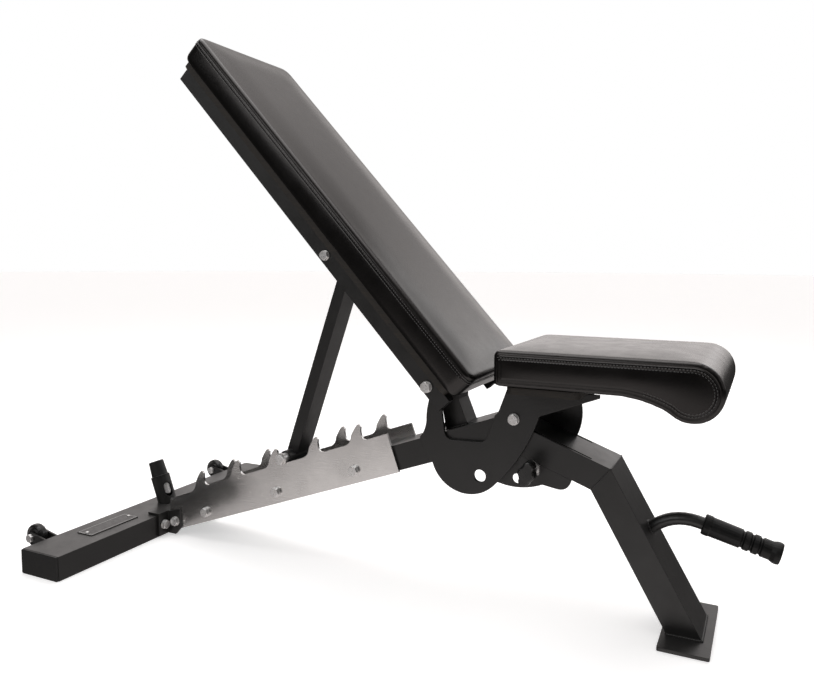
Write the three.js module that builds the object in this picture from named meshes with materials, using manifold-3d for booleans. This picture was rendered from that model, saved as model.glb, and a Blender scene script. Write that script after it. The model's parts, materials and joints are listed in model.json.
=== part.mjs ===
// Adjustable weight bench: a welded steel spine on a rear crossbar and a front foot, a reclining backrest
// held by a strut that drops into a toothed ladder, and a tilting seat locked by a spring pin.
// Units are millimetres, +Z is up, +X runs from the crossbar to the front foot, the bench is symmetric in Y.

import * as THREE from 'three';
import { mergeVertices } from 'three/addons/utils/BufferGeometryUtils.js';
import Module from 'manifold-3d';

const wasm = await Module();
wasm.setup();

// ---------- driving dimensions ----------

const GAP = 0.3; // clearance between pieces that touch
const TUBE_W = 100; // frame tube, across the bench
const TUBE_H = 50; // frame tube, height
const WALL = 3; // frame tube wall
const HALF_TUBE = TUBE_W / 2;

const CROSSBAR_LENGTH = 698;
const CROSSBAR_DEPTH = 103;
const CAP_THICKNESS = 4;

const SLOPE = THREE.MathUtils.degToRad(20); // rise of the beam and fall of the upper leg
const LEG_ANGLE = THREE.MathUtils.degToRad(60); // fall of the lower leg
const BEAM_FOOT_Z = 5; // underside of the beam above the floor, at the crossbar's front face
const APEX_X = 811; // where the beam meets the upper leg
const UPPER_LEG_LENGTH = 179; // along the underside, from the apex to the bend

const LADDER_THICKNESS = 5;
const LADDER_END = 643; // along the beam
const LADDER_FLOOR = 76; // height of the notch floors above the beam's underside
const TOOTH_COUNT = 5;
const TOOTH_FIRST = 150;
const TOOTH_PITCH = 108.5;
const TOOTH_TIP = 110;

const SIDE_PLATE_THICKNESS = 6;
const HINGE = { x: 701, z: 412 }; // backrest hinge axis
const SEAT_PIVOT = { x: 839, z: 351.5 }; // seat pivot axis
const RECLINE = THREE.MathUtils.degToRad(47.4); // backrest above the horizontal

const PAD_WIDTH = 300;
const PAD_TOP_END = -828; // backrest pad, along the backrest from the hinge
const PAD_LOW_END = 50;
const PAD_THICKNESS = 54;
const RAIL_OUTER = 133; // outer face of a backrest rail
const RAIL_WIDTH = 20;
const RAIL_LOW = -12.5; // rail depth, measured square to the backrest from the hinge axis
const RAIL_HIGH = 17;
const BOARD_THICKNESS = 12;
const BOARD_SHEET = { depth: BOARD_THICKNESS, bevelEnabled: false, curveSegments: 4 };
const STRUT_PIVOT = { x: -315, z: 1 }; // in the backrest's own frame

const LADDER_BOLTS = [[38.5, 17.5], [129, 19], [338, 22], [544, 23.5]]; // along and up from the underside

const STRUT_WIDTH = 50;
const STRUT_DEPTH = 25;
const BAR_RADIUS = 10;
const BAR_ALONG = 380; // the strut bar's place along the beam
const BAR_UP = LADDER_FLOOR + BAR_RADIUS + 0.5;

const SELECTOR_RADIUS = 128; // the seat's locking plate, round the seat pivot
const SELECTOR_THICKNESS = 5;
const SELECTOR_OUTER = HALF_TUBE - WALL; // the slot it swings in, across the bench
const SELECTOR_INNER = SELECTOR_OUTER - SELECTOR_THICKNESS - 1.2;
const FAR_BRACKET_RADIUS = 101;
const LOCK_RADIUS = 95;
const LOCK_ANGLE = THREE.MathUtils.degToRad(-68);
const LOCK_STEP = THREE.MathUtils.degToRad(12);

const SEAT_BOTTOM = 424;
const SEAT_TOP = 488.5;
const SEAT_REAR = 830;
const SEAT_ROLL = { x: 1150, z: SEAT_TOP - 49, r: 49 };

const FOOT = { x0: 1104, x1: 1187, halfWidth: 100, thickness: 6 };

const WHEEL = { x: -150, y: 277, z: 45, radius: 25.5, width: 20 };
const POST = { x: -55, radius: 21.5, height: 62, lean: SLOPE };

const HANDLE_RADIUS = 11;
const GRIP_LENGTH = 126;

const NUT_RADIUS = 10.4; // across the corners of an M12 nut, halved
const WASHER_RADIUS = 10.7;

// ---------- materials ----------

function finish(colour, roughness, metalness) {
  return new THREE.MeshStandardMaterial({ color: colour, roughness, metalness });
}

const blackPaint = finish(0x1c1c1d, 0.55, 0.3);
const stainless = finish(0xb8bbbd, 0.32, 0.95);
const zinc = finish(0xcfd1d0, 0.35, 0.9);
const vinyl = finish(0x19191b, 0.5, 0);
const rubber = finish(0x151515, 0.7, 0);
const plastic = finish(0x171718, 0.45, 0);
const boardBlack = finish(0x201e1c, 0.8, 0);

// ---------- solids ----------

function solidOf(geometry) {
  const bare = geometry.index ? geometry.toNonIndexed() : geometry.clone();
  bare.deleteAttribute('normal');
  bare.deleteAttribute('uv');
  const merged = mergeVertices(bare, 1e-4);
  return new wasm.Manifold(new wasm.Mesh({
    numProp: 3,
    vertProperties: new Float32Array(merged.attributes.position.array),
    triVerts: new Uint32Array(merged.index.array),
  }));
}

function geometryOf(solid) {
  const mesh = solid.getMesh();
  const geometry = new THREE.BufferGeometry();
  geometry.setAttribute('position', new THREE.BufferAttribute(new Float32Array(mesh.vertProperties), 3));
  geometry.setIndex(new THREE.BufferAttribute(new Uint32Array(mesh.triVerts), 1));
  geometry.computeVertexNormals();
  return geometry;
}

function cut(base, ...tools) {
  return geometryOf(tools.reduce((rest, tool) => rest.subtract(solidOf(tool)), solidOf(base)));
}

function join(base, ...others) {
  return geometryOf(others.reduce((sum, other) => sum.add(solidOf(other)), solidOf(base)));
}

function overlap(base, other) {
  return geometryOf(solidOf(base).intersect(solidOf(other)));
}

function box(x0, x1, y0, y1, z0, z1) {
  const geometry = new THREE.BoxGeometry(x1 - x0, y1 - y0, z1 - z0);
  return geometry.translate((x0 + x1) / 2, (y0 + y1) / 2, (z0 + z1) / 2);
}

// A cylinder along Y.
function rod(x, z, radius, y0, y1, sides = 24) {
  return new THREE.CylinderGeometry(radius, radius, y1 - y0, sides).translate(x, (y0 + y1) / 2, z);
}

// A side profile in X and Z, extruded across the bench from y0 to y1.
function acrossY(shape, y0, y1, curveSegments = 8) {
  const geometry = new THREE.ExtrudeGeometry(shape, { depth: y1 - y0, bevelEnabled: false, curveSegments });
  return geometry.rotateX(Math.PI / 2).translate(0, y1, 0);
}

function polygon(points) {
  return new THREE.Shape(points.map(([x, z]) => new THREE.Vector2(x, z)));
}

// A hollow frame tube: the outer side profile, less a core that runs out of both ends.
function frameTube(points, coreStart, coreEnd) {
  const outer = acrossY(polygon(points), -HALF_TUBE, HALF_TUBE);
  const core = box(coreStart, coreEnd, -HALF_TUBE + WALL, HALF_TUBE - WALL, WALL, TUBE_H - WALL);
  return cut(outer, core);
}

// A point along the beam and up from its underside, in the bench's side view.
function fromBeam(along, up) {
  return {
    x: along * Math.cos(SLOPE) - up * Math.sin(SLOPE),
    z: BEAM_FOOT_Z + along * Math.sin(SLOPE) + up * Math.cos(SLOPE),
  };
}

function mesh(name, geometry, material) {
  const piece = new THREE.Mesh(geometry, material);
  piece.name = name;
  return piece;
}

function place(group, ...pieces) {
  group.add(...pieces);
  return group;
}

// A hexagon head along Y between y0 and y1, with its outer face chamfered.
function hexHead(radius, y0, y1, outward) {
  const height = y1 - y0;
  const prism = new THREE.CylinderGeometry(radius, radius, height, 6);
  const chamfer = new THREE.LatheGeometry([
    new THREE.Vector2(0, -height / 2),
    new THREE.Vector2(radius * 1.05, -height / 2),
    new THREE.Vector2(radius * 1.05, height * 0.2),
    new THREE.Vector2(radius * 0.84, height / 2),
    new THREE.Vector2(0, height / 2),
  ], 20);
  if (outward < 0) chamfer.rotateX(Math.PI);
  return overlap(prism, chamfer).translate(0, (y0 + y1) / 2, 0);
}

// A bolt along Y through the whole bench: a head on the near side, a washer and nut on the far side.
function throughBolt(name, x, z, halfGrip, headRadius = NUT_RADIUS) {
  const shankRadius = 6;
  const washerRadius = headRadius + WASHER_RADIUS - NUT_RADIUS;
  const headHeight = headRadius * 0.62;
  const washer = 2;
  const inner = halfGrip + GAP;
  const shape = join(
    rod(0, 0, shankRadius, -inner - 1, inner + washer + headHeight + 4, 16),
    rod(0, 0, washerRadius, -inner - washer, -inner, 24),
    hexHead(headRadius, -inner - washer - headHeight, -inner - washer + 0.01, -1),
    rod(0, 0, washerRadius, inner, inner + washer, 24),
    hexHead(headRadius, inner + washer - 0.01, inner + washer + headHeight, 1),
  );
  const piece = mesh(name, shape, zinc);
  piece.position.set(x, 0, z);
  return piece;
}

// ---------- rear crossbar ----------

function crossbarGroup() {
  const half = CROSSBAR_LENGTH / 2 - CAP_THICKNESS;
  const group = new THREE.Group();
  const boltY = 73;
  const boltZ = 27.5;
  const boltHoles = [-1, 1].map((side) => {
    const hole = new THREE.CylinderGeometry(6.5, 6.5, 20, 20).rotateZ(Math.PI / 2);
    return hole.translate(0, side * boltY, boltZ);
  });
  const tube = cut(
    box(-CROSSBAR_DEPTH, 0, -half, half, 0, TUBE_H),
    box(-CROSSBAR_DEPTH + WALL, -WALL, -half - 1, half + 1, WALL, TUBE_H - WALL),
    ...boltHoles,
  );
  place(group, mesh('crossbar', tube, blackPaint));

  for (const [label, side] of [['near', -1], ['far', 1]]) {
    const outer = new THREE.ExtrudeGeometry(roundedRectangle(CROSSBAR_DEPTH, TUBE_H, 3), {
      depth: CAP_THICKNESS - GAP - 1,
      bevelEnabled: true,
      bevelThickness: 1,
      bevelSize: 1,
      bevelOffset: -1,
      bevelSegments: 1,
      curveSegments: 2,
    });
    outer.rotateX(-Math.PI / 2).translate(-CROSSBAR_DEPTH / 2, GAP + 1, TUBE_H / 2);
    const inset = WALL + 0.5;
    const plug = box(-CROSSBAR_DEPTH + inset, -inset, -14, GAP + 1.5, inset, TUBE_H - inset);
    const cap = overlap(join(outer, plug), box(-CROSSBAR_DEPTH, 0, -20, CAP_THICKNESS, 0, TUBE_H));
    if (side < 0) cap.rotateZ(Math.PI).translate(-CROSSBAR_DEPTH, 0, 0);
    cap.translate(0, side * half, 0);
    place(group, mesh(`crossbar_cap_${label}`, cap, plastic));
  }

  // The bracket that carries the beam: a flange on the crossbar, a lip over its top and two cheeks.
  const reach = 88;
  const flange = cut(box(GAP, 6.3, -reach, reach, 3, TUBE_H + 5.3), ...boltHoles);
  const lip = box(-27, 6.3, -reach, reach, TUBE_H + GAP, TUBE_H + 5.3);
  const cheekInner = HALF_TUBE + GAP + LADDER_THICKNESS + 0.4;
  const cheek = polygon([[6, 3], [28, 3], [42, 18], [42, 63], [12, 55.3], [6, 55.3]]);
  const cheeks = [
    acrossY(cheek, -cheekInner - 5, -cheekInner),
    acrossY(cheek, cheekInner, cheekInner + 5),
  ];
  const cheekBolt = fromBeam(...LADDER_BOLTS[0]);
  const cheekBoltHole = rod(cheekBolt.x, cheekBolt.z, 6.5, -80, 80, 20);
  place(group, mesh('rear_bracket', cut(join(flange, lip, ...cheeks), cheekBoltHole), blackPaint));

  for (const [label, side] of [['near', -1], ['far', 1]]) {
    const shape = join(
      rod(0, 0, 6, -12, 1, 16),
      rod(0, 0, WASHER_RADIUS, 0, 2, 24),
      hexHead(NUT_RADIUS, 2 - 0.01, 9, 1),
    );
    shape.rotateZ(-Math.PI / 2).translate(6.3 + GAP, side * boltY, boltZ);
    place(group, mesh(`bracket_bolt_${label}`, shape, zinc));
  }
  return group;
}

function roundedRectangle(width, height, radius) {
  const x = width / 2;
  const y = height / 2;
  const shape = new THREE.Shape();
  shape.moveTo(-x + radius, -y);
  shape.lineTo(x - radius, -y);
  shape.absarc(x - radius, -y + radius, radius, -Math.PI / 2, 0);
  shape.lineTo(x, y - radius);
  shape.absarc(x - radius, y - radius, radius, 0, Math.PI / 2);
  shape.lineTo(-x + radius, y);
  shape.absarc(-x + radius, y - radius, radius, Math.PI / 2, Math.PI);
  shape.lineTo(-x, -y + radius);
  shape.absarc(-x + radius, -y + radius, radius, Math.PI, Math.PI * 1.5);
  return shape;
}

// ---------- name plate ----------

function namePlate() {
  const group = new THREE.Group();
  const length = 128;
  const width = 44;
  const thickness = 1.2;
  group.position.set(-55, -175, TUBE_H + GAP);
  const plate = new THREE.ExtrudeGeometry(roundedRectangle(width, length, 3), {
    depth: thickness,
    bevelEnabled: false,
    curveSegments: 3,
  });
  place(group, mesh('name_plate', plate, plastic));
  [-1, 1].forEach((end, index) => {
    const rivet = new THREE.LatheGeometry([
      new THREE.Vector2(0, 0),
      new THREE.Vector2(4, 0),
      new THREE.Vector2(3.4, 1.2),
      new THREE.Vector2(1.8, 2),
      new THREE.Vector2(0, 2.2),
    ], 16).rotateX(Math.PI / 2);
    rivet.translate(0, end * (length / 2 - 8), thickness + GAP);
    place(group, mesh(`name_plate_rivet_${index + 1}`, rivet, zinc));
  });
  return group;
}

// ---------- rear post ----------

function rearPost() {
  const group = new THREE.Group();
  group.position.set(POST.x, 0, TUBE_H);
  const { radius, height, lean } = POST;
  const leaning = (geometry) => geometry.rotateX(Math.PI / 2).rotateY(-lean);
  const wall = 3;
  const rod = (size, length, middle) => (
    new THREE.CylinderGeometry(size, size, length, 32).translate(0, middle, 0)
  );
  const outer = leaning(rod(radius, height + 20, (height - 20) / 2));
  const bore = leaning(rod(radius - wall, height + 60, height / 2));
  const facing = THREE.MathUtils.degToRad(75); // the window looks forward and to the near side
  const upPost = (geometry, along) => geometry.rotateZ(facing).translate(0, 0, along).rotateY(-lean);
  const window = upPost(ovalAlongY(18, 34, -radius - 5, -5), 28);
  const floorCut = box(-80, 80, -80, 80, -60, GAP);
  place(group, mesh('rear_post', cut(outer, bore, floorCut, window), blackPaint));

  const bored = radius - wall;
  const capProfile = [
    [0, -12], [bored - 0.5, -12], [bored - 0.5, GAP], [radius + 0.8, GAP], [radius + 0.8, 2.2],
    [radius - 2.8, 3.4], [radius - 4.6, 37.5], [radius - 6.5, 39], [0, 39],
  ].map(([r, h]) => new THREE.Vector2(r, h));
  const cap = leaning(new THREE.LatheGeometry(capProfile, 32).translate(0, height, 0));
  place(group, mesh('rear_post_cap', cap, plastic));

  const insert = upPost(ovalAlongY(17, 26, -radius + 3.5, -radius + 6), 31);
  const seated = overlap(insert, leaning(new THREE.CylinderGeometry(bored - 0.4, bored - 0.4, 200, 32)));
  place(group, mesh('post_window_insert', seated, zinc));
  return group;
}

function ovalAlongY(width, height, y0, y1) {
  const radius = width / 2;
  const straight = height / 2 - radius;
  const shape = new THREE.Shape();
  shape.absarc(0, straight, radius, 0, Math.PI);
  shape.absarc(0, -straight, radius, Math.PI, Math.PI * 2);
  return acrossY(shape, y0, y1, 8);
}

// ---------- transport wheels ----------

function wheelSet(label, side) {
  const group = new THREE.Group();
  group.position.set(WHEEL.x, side * WHEEL.y, WHEEL.z);
  const half = WHEEL.width / 2;
  const wheelProfile = [
    [5.3, -half], [15, -half], [17.5, -half + 3], [21.5, -half + 1.5], [24, -half + 3],
    [WHEEL.radius, -half + 6], [WHEEL.radius, half - 6],
    [24, half - 3], [21.5, half - 1.5], [17.5, half - 3], [15, half], [5.3, half],
    [5.3, -half],
  ].map(([r, h]) => new THREE.Vector2(r, h));
  const tyre = new THREE.LatheGeometry(wheelProfile, 32);

  // The fork: a back plate against the crossbar and two cheeks round the axle.
  const gap = half + 1.5;
  const thickness = 4;
  const back = -CROSSBAR_DEPTH - GAP - WHEEL.x;
  const low = -15;
  const high = 2;
  const cheekRadius = 11;
  const cheek = new THREE.Shape();
  cheek.moveTo(back, low);
  cheek.lineTo(back, high);
  cheek.lineTo(4, cheekRadius - 0.5);
  cheek.absarc(0, 0, cheekRadius, Math.PI / 2 - 0.25, Math.PI * 1.5);
  const fork = cut(
    join(
      box(back - thickness, back, -gap - thickness, gap + thickness, low, high),
      acrossY(cheek, -gap - thickness, -gap, 10),
      acrossY(cheek, gap, gap + thickness, 10),
    ),
    rod(0, 0, 5.3, -40, 40, 20),
  );

  const grip = gap + thickness + GAP;
  const axle = join(
    rod(0, 0, 5, -grip - 1, grip + 6, 16),
    hexHead(9.2, -grip - 6, -grip, -1),
    hexHead(9.2, grip, grip + 6, 1),
  );
  return place(
    group,
    mesh(`wheel_fork_${label}`, fork, blackPaint),
    mesh(`wheel_${label}`, tyre, plastic),
    mesh(`wheel_axle_${label}`, axle, zinc),
  );
}

// ---------- beam and ladder ----------

// Distance along the beam to a vertical plane at the given X, at a height above the beam's underside.
function alongBeam(x, height) {
  return (x + height * Math.sin(SLOPE)) / Math.cos(SLOPE);
}

function ladderShape() {
  const start = 9;
  const low = -2.5;
  const shape = new THREE.Shape();
  shape.moveTo(alongBeam(start, low), low);
  shape.lineTo(LADDER_END, low);
  shape.lineTo(LADDER_END, LADDER_FLOOR);
  for (let tooth = TOOTH_COUNT - 1; tooth >= 0; tooth -= 1) {
    const tip = TOOTH_FIRST + TOOTH_PITCH * tooth;
    const last = tooth === 0;
    shape.lineTo(tip + 8, LADDER_FLOOR);
    shape.quadraticCurveTo(tip + 1, LADDER_FLOOR + 1, tip + 0.5, LADDER_FLOOR + 9);
    shape.quadraticCurveTo(tip + 0.5, LADDER_FLOOR + 20, tip + 4.5, LADDER_FLOOR + 26);
    shape.quadraticCurveTo(tip + 5, TOOTH_TIP - 2, tip, TOOTH_TIP);
    shape.quadraticCurveTo(tip - 8, TOOTH_TIP - 3, tip - 23, LADDER_FLOOR + 16);
    shape.quadraticCurveTo(tip - 29, LADDER_FLOOR + 1, tip - 44, last ? LADDER_FLOOR - 5 : LADDER_FLOOR);
  }
  shape.lineTo(alongBeam(start, LADDER_FLOOR - 6), LADDER_FLOOR - 6);
  return shape;
}

function beamGroup() {
  const group = new THREE.Group();
  group.position.set(0, 0, BEAM_FOOT_Z);
  group.rotation.y = -SLOPE;
  const rear = 7;
  const front = APEX_X - GAP / 2;
  const profile = [
    [alongBeam(rear, 0), 0],
    [alongBeam(front, 0), 0],
    [alongBeam(front, TUBE_H), TUBE_H],
    [alongBeam(rear, TUBE_H), TUBE_H],
  ];
  const boltHole = 6.5;
  const holes = LADDER_BOLTS.map(([s, h]) => rod(s, h, boltHole, -90, 90, 20));
  place(group, mesh('main_beam', cut(frameTube(profile, -20, 960), ...holes), blackPaint));
  const inner = HALF_TUBE + GAP;
  for (const [label, y0] of [['near', -inner - LADDER_THICKNESS], ['far', inner]]) {
    const plate = acrossY(ladderShape(), y0, y0 + LADDER_THICKNESS, 5);
    place(group, mesh(`ladder_plate_${label}`, cut(plate, ...holes), stainless));
  }
  LADDER_BOLTS.forEach(([s, h], index) => {
    const cheek = index === 0 ? 5.7 : 0;
    place(group, throughBolt(`ladder_bolt_${index + 1}`, s, h, inner + LADDER_THICKNESS + cheek));
  });
  return group;
}

// ---------- side plates, hinge post and hinge tube ----------

const LOBE = { x: 748, z: 274, nearRadius: 74, farRadius: 58 };
const LOBE_HOLE = { x: 774, z: 238, r: 12 };
const ARM_HEAD = 15.5;

function sidePlateShape(lobeRadius) {
  const beamTop = (x) => BEAM_FOOT_Z + x * Math.tan(SLOPE) + TUBE_H / Math.cos(SLOPE);
  const shape = new THREE.Shape();
  shape.moveTo(650, beamTop(650) + 4);
  shape.lineTo(669, 254);
  shape.absarc(LOBE.x, LOBE.z, lobeRadius, Math.PI * 1.09, Math.PI * 1.77, false);
  shape.quadraticCurveTo(861, 283, 886, 361);
  shape.lineTo(992, 402);
  shape.lineTo(992, 408);
  shape.lineTo(826, 408);
  shape.lineTo(811, 367);
  shape.quadraticCurveTo(808, 359, 803, 356);
  shape.lineTo(790, 318);
  shape.quadraticCurveTo(784, 302, 772, 302);
  shape.lineTo(718, 300);
  shape.quadraticCurveTo(704, 301, 701, 316);
  shape.lineTo(696, 352);
  shape.quadraticCurveTo(700, 372, HINGE.x + ARM_HEAD * 0.98, HINGE.z - 4);
  shape.absarc(HINGE.x, HINGE.z, ARM_HEAD, -0.2, Math.PI, false);
  shape.quadraticCurveTo(663, 370, 664, 332);
  shape.quadraticCurveTo(662, 310, 650, beamTop(650) + 4);
  return shape;
}

function spineHardware() {
  const group = new THREE.Group();
  const inner = HALF_TUBE + GAP;
  const hingeTubeRadius = 12;
  const holes = [
    rod(HINGE.x, HINGE.z, hingeTubeRadius + GAP, -90, 90, 32),
    rod(SEAT_PIVOT.x, SEAT_PIVOT.z, 6.5, -90, 90, 24),
    rod(LOBE_HOLE.x, LOBE_HOLE.z, LOBE_HOLE.r, -90, -20, 32),
  ];
  const sides = [['near', -inner - SIDE_PLATE_THICKNESS, LOBE.nearRadius], ['far', inner, LOBE.farRadius]];
  for (const [label, y0, lobeRadius] of sides) {
    const plate = acrossY(sidePlateShape(lobeRadius), y0, y0 + SIDE_PLATE_THICKNESS, 12);
    place(group, mesh(`side_plate_${label}`, cut(plate, ...holes), blackPaint));
  }

  const beamTop = (x) => BEAM_FOOT_Z + x * Math.tan(SLOPE) + TUBE_H / Math.cos(SLOPE) + GAP;
  const post = new THREE.Shape();
  post.moveTo(692, beamTop(692));
  post.lineTo(736, beamTop(736));
  post.lineTo(717, 372);
  post.lineTo(HINGE.x + ARM_HEAD, HINGE.z);
  post.absarc(HINGE.x, HINGE.z, ARM_HEAD, 0, Math.PI, false);
  post.lineTo(680, 372);
  place(group, mesh('hinge_post', cut(acrossY(post, -25, 25, 10), holes[0]), blackPaint));

  const tubeEnd = RAIL_OUTER - RAIL_WIDTH - 1;
  const hingeTube = cut(
    rod(HINGE.x, HINGE.z, hingeTubeRadius, -tubeEnd, tubeEnd, 32),
    rod(HINGE.x, HINGE.z, 6.4, -tubeEnd - 1, tubeEnd + 1, 20),
  );
  place(group, mesh('hinge_tube', hingeTube, blackPaint));

  for (const [label, side] of [['near', -1], ['far', 1]]) {
    const shape = join(
      rod(0, 0, 6, -60, 1, 16),
      rod(0, 0, WASHER_RADIUS, 0, 2, 24),
      hexHead(NUT_RADIUS, 2 - 0.01, 9, 1),
    );
    if (side < 0) shape.rotateZ(Math.PI);
    shape.translate(HINGE.x, side * (RAIL_OUTER + 0.5), HINGE.z);
    place(group, mesh(`hinge_bolt_${label}`, shape, zinc));
  }
  place(group, throughBolt('seat_pivot_bolt', SEAT_PIVOT.x, SEAT_PIVOT.z, inner + SIDE_PLATE_THICKNESS));
  return group;
}

// ---------- front leg, foot and handle ----------

const BEND = {
  x: APEX_X + UPPER_LEG_LENGTH * Math.cos(SLOPE),
  z: BEAM_FOOT_Z + APEX_X * Math.tan(SLOPE) - UPPER_LEG_LENGTH * Math.sin(SLOPE),
};
const MITRE = Math.tan((LEG_ANGLE - SLOPE) / 2);

function upperLeg() {
  const group = new THREE.Group();
  group.position.set(APEX_X, 0, BEAM_FOOT_Z + APEX_X * Math.tan(SLOPE));
  group.rotation.y = SLOPE;
  const start = (h) => (GAP / 2 - h * Math.sin(SLOPE)) / Math.cos(SLOPE);
  const end = (h) => UPPER_LEG_LENGTH + h * MITRE - GAP / 2;
  const side = [[start(0), 0], [end(0), 0], [end(TUBE_H), TUBE_H], [start(TUBE_H), TUBE_H]];
  const tube = frameTube(side, -60, 260);
  // Slots let the seat's two brackets swing into the tube, and the locking plate right through it.
  const slots = [
    box(-40, 160, -SELECTOR_OUTER, -SELECTOR_INNER, -10, TUBE_H + 20),
    box(-40, 140, SELECTOR_INNER, SELECTOR_OUTER, TUBE_H / 2, TUBE_H + 20),
  ];
  return place(group, mesh('leg_upper', cut(tube, ...slots), blackPaint));
}

function lowerLeg() {
  const group = new THREE.Group();
  group.position.set(BEND.x, 0, BEND.z);
  group.rotation.y = LEG_ANGLE;
  const floor = FOOT.thickness + GAP;
  const end = (h) => (BEND.z - floor + h * Math.cos(LEG_ANGLE)) / Math.sin(LEG_ANGLE);
  const start = (h) => GAP / 2 - h * MITRE;
  const side = [[start(0), 0], [end(0), 0], [end(TUBE_H), TUBE_H], [start(TUBE_H), TUBE_H]];
  const tube = frameTube(side, -40, 340);
  return place(group, mesh('leg_lower', tube, blackPaint));
}

function footPlate() {
  const shape = roundedRectangle(FOOT.x1 - FOOT.x0, FOOT.halfWidth * 2, 4);
  const sheet = { depth: FOOT.thickness, bevelEnabled: false, curveSegments: 3 };
  const plate = new THREE.ExtrudeGeometry(shape, sheet);
  plate.translate((FOOT.x0 + FOOT.x1) / 2, 0, 0);
  return mesh('foot_plate', plate, blackPaint);
}

function frontHandle() {
  const group = new THREE.Group();
  const exit = 108; // along the lower leg
  const faceX = BEND.x + exit * Math.cos(LEG_ANGLE) + TUBE_H * Math.sin(LEG_ANGLE);
  const faceZ = BEND.z - exit * Math.sin(LEG_ANGLE) + TUBE_H * Math.cos(LEG_ANGLE);
  const gripDrop = THREE.MathUtils.degToRad(15);
  const bendEnd = new THREE.Vector3(faceX + 84, 0, faceZ + 21);
  const direction = new THREE.Vector3(Math.cos(gripDrop), 0, -Math.sin(gripDrop));
  const straightEnd = bendEnd.clone().addScaledVector(direction, GRIP_LENGTH - 16);
  const path = new THREE.CurvePath();
  path.add(new THREE.CubicBezierCurve3(
    new THREE.Vector3(faceX - 8, 0, faceZ - 8),
    new THREE.Vector3(faceX + 18, 0, faceZ + 20),
    bendEnd.clone().addScaledVector(direction, -38),
    bendEnd,
  ));
  path.add(new THREE.LineCurve3(bendEnd, straightEnd));
  const section = new THREE.Shape().absarc(0, 0, HANDLE_RADIUS, 0, Math.PI * 2);
  const tube = new THREE.ExtrudeGeometry(section, { extrudePath: path, steps: 20, curveSegments: 12 });
  const legBlock = box(-200, 400, -HALF_TUBE - 5, HALF_TUBE + 5, -20, TUBE_H + GAP);
  legBlock.rotateY(LEG_ANGLE).translate(BEND.x, 0, BEND.z);
  place(group, mesh('handle_tube', cut(tube, legBlock), blackPaint));

  // The grip: a collar, three ribs and a flared end round a blind bore.
  const bore = HANDLE_RADIUS + GAP;
  const profile = [
    [bore, 0], [16.5, 0], [18, 2], [18, 11], [17, 13], [16.4, 62], [13.8, 64], [13.8, 66], [16.4, 68],
    [16.4, 76], [13.8, 78], [13.8, 80], [16.4, 82], [16.4, 90], [13.8, 92], [13.8, 94], [16.2, 96],
    [16, 110], [18.6, 117], [18.8, 122], [17.5, GRIP_LENGTH], [0, GRIP_LENGTH], [0, GRIP_LENGTH - 10],
    [bore, GRIP_LENGTH - 10], [bore, 0],
  ].map(([r, h]) => new THREE.Vector2(r, h));
  const gripShape = new THREE.LatheGeometry(profile, 24).rotateZ(-Math.PI / 2);
  const grip = mesh('handle_grip', gripShape, rubber);
  grip.position.copy(bendEnd).addScaledVector(direction, 2);
  grip.rotation.y = gripDrop;
  return place(group, grip);
}

// ---------- lock pin ----------

const PIN = {
  x: SEAT_PIVOT.x + LOCK_RADIUS * Math.cos(LOCK_ANGLE),
  z: SEAT_PIVOT.z + LOCK_RADIUS * Math.sin(LOCK_ANGLE),
  radius: 7,
};

function lockPin() {
  const group = new THREE.Group();
  const legBottom = (x) => BEAM_FOOT_Z + APEX_X * Math.tan(SLOPE) - (x - APEX_X) * Math.tan(SLOPE) - GAP;
  const tab = new THREE.Shape();
  tab.moveTo(846, legBottom(846));
  tab.lineTo(846, 252);
  tab.lineTo(856, 247);
  tab.quadraticCurveTo(858, 240, 866, 240);
  tab.lineTo(915, 232);
  tab.quadraticCurveTo(940, 227, 945, legBottom(945));
  const tabOuter = -HALF_TUBE;
  const tabInner = -SELECTOR_OUTER;
  const tabPlate = cut(acrossY(tab, tabOuter, tabInner, 8), rod(PIN.x, PIN.z, PIN.radius + 0.6, -90, 0, 24));
  place(group, mesh('pin_tab', tabPlate, blackPaint));

  const y = (distance) => tabOuter - GAP - distance;
  const housing = cut(
    join(
      new THREE.CylinderGeometry(15, 15, 7, 6).translate(0, y(3.5), 0),
      rod(0, 0, 11, y(24), y(6), 28),
    ),
    rod(0, 0, PIN.radius + 0.6, y(30), y(-5), 24),
  );
  housing.translate(PIN.x, 0, PIN.z);
  place(group, mesh('pin_housing', housing, zinc));

  const shaft = rod(PIN.x, PIN.z, PIN.radius, y(38), y(-3), 20);
  place(group, mesh('lock_pin', shaft, zinc));

  // The knob: a winged pull handle round the end of the pin.
  const wing = new THREE.Shape();
  wing.absarc(0, 13, 8.5, 0.35, Math.PI - 0.35);
  wing.quadraticCurveTo(-9, 8, -13, 4);
  wing.quadraticCurveTo(-15, 0, -13, -4);
  wing.quadraticCurveTo(-9, -8, -8, -12);
  wing.absarc(0, -13, 8.5, Math.PI + 0.35, Math.PI * 2 - 0.35);
  wing.quadraticCurveTo(9, -8, 13, -4);
  wing.quadraticCurveTo(15, 0, 13, 4);
  wing.quadraticCurveTo(9, 8, 8, 12);
  const body = new THREE.ExtrudeGeometry(wing, {
    depth: 14,
    bevelEnabled: true,
    bevelThickness: 3,
    bevelSize: 3,
    bevelOffset: -1,
    bevelSegments: 2,
    curveSegments: 6,
  });
  body.rotateX(Math.PI / 2).rotateY(0.3).translate(0, y(28), 0);
  const neck = rod(0, 0, 10.5, y(30), y(25), 28);
  const knob = cut(join(body, neck), rod(0, 0, PIN.radius + GAP, y(38 + GAP), y(20), 24));
  knob.translate(PIN.x, 0, PIN.z);
  place(group, mesh('pull_knob', knob, plastic));
  return group;
}

// ---------- backrest ----------

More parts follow.
